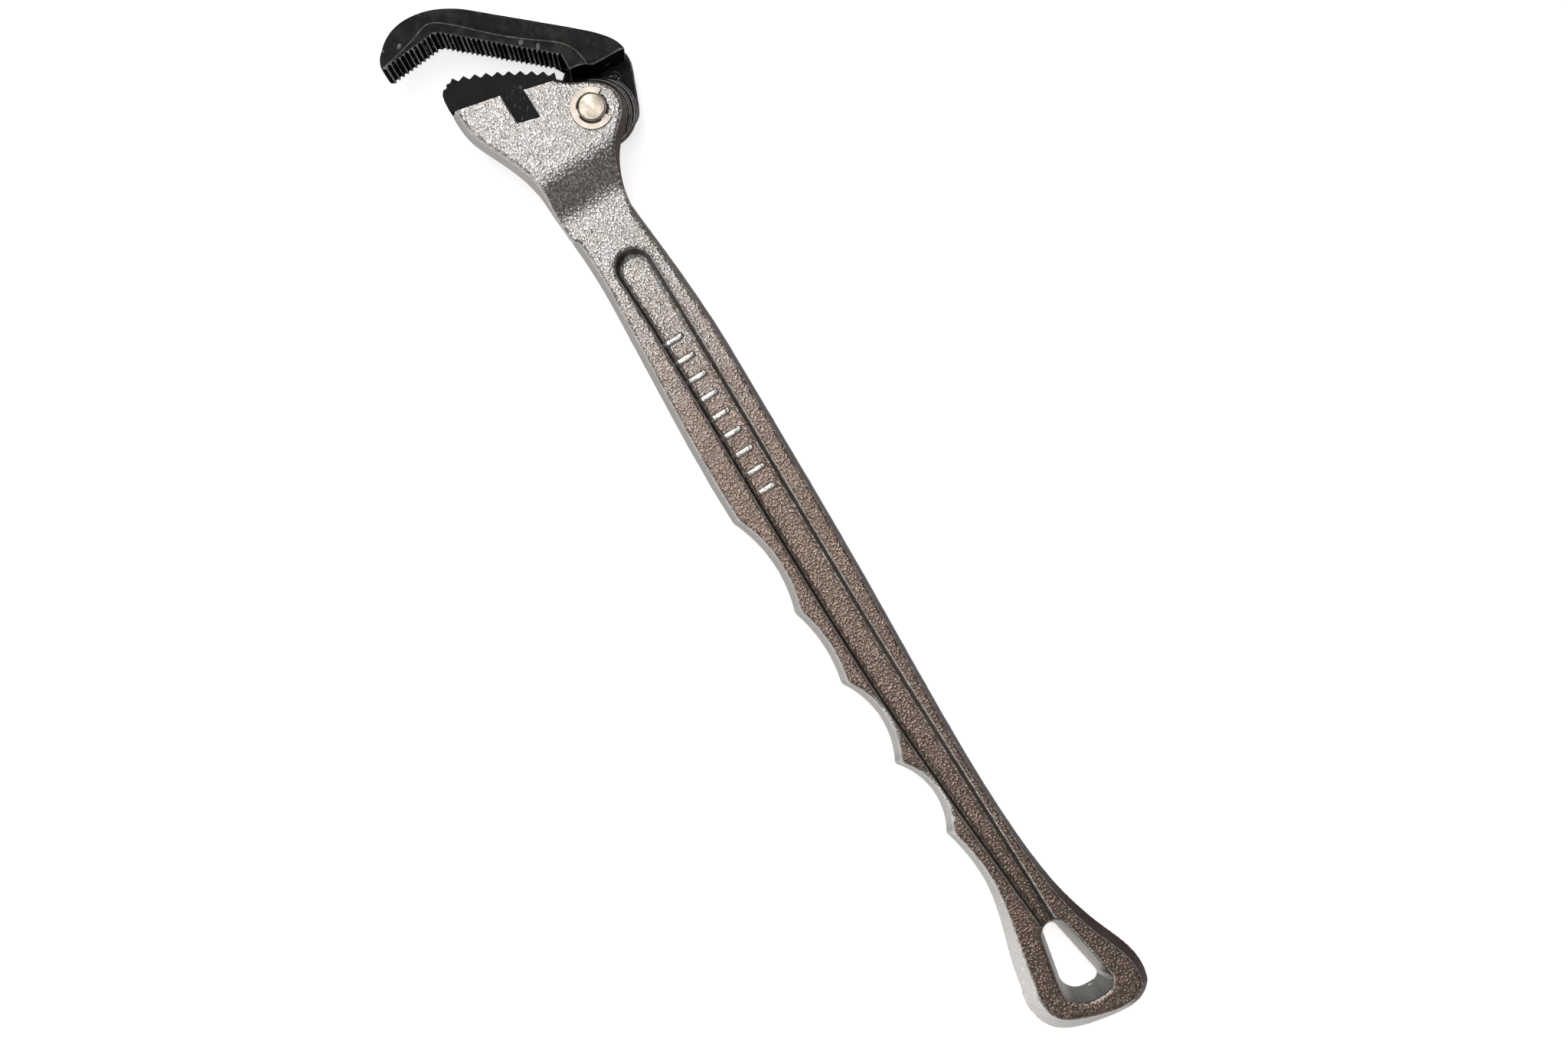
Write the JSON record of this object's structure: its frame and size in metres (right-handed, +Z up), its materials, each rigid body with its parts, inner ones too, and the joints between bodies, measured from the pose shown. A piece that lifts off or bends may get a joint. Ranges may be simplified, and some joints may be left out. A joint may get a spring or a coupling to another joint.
{
  "type": "pipe wrench",
  "caption": "Self-adjusting pipe wrench: cranked I-section handle with finger scallops and a hanging hole, T-shaped toothed heel jaw and a spring-loaded hook jaw.",
  "frame": {"origin": "centre of the whole wrench's footprint, on the plane that the wrench lies on (the pivot pin's head, its lowest point)", "axes": "+Z up through the front face, +X along the handle towards the jaws, +Y towards the side that the jaws open to"},
  "size_m": [0.3016, 0.0541, 0.0274],
  "materials": {
    "cast_handle": "satin nickel-plated casting",
    "black_jaw": "black oxide",
    "pin_steel": "turned",
    "copper_clip": "copper-plated spring steel",
    "spring_steel": "oiled wire"
  },
  "bodies": {
    "handle_body": {"handle": "cast_handle", "heel_jaw": "black_jaw", "heel_jaw_pin": "spring_steel", "pivot_pin": "pin_steel", "retaining_clip": "copper_clip", "thrust_washer": "pin_steel", "torsion_spring": "spring_steel"},
    "hook_body": {"hook_jaw": "black_jaw"}
  },
  "joints": [
    {"name": "hook_pivot", "type": "hinge", "parent": "handle_body", "child": "hook_body", "pos_m": [0.10819, -0.01125, 0.0189], "axis": [0, 0, -1], "range_deg": [0, 55], "stiffness_Nm_per_rad": 0.35, "springref_deg": -34.38, "deforming": ["torsion_spring"]}
  ]
}
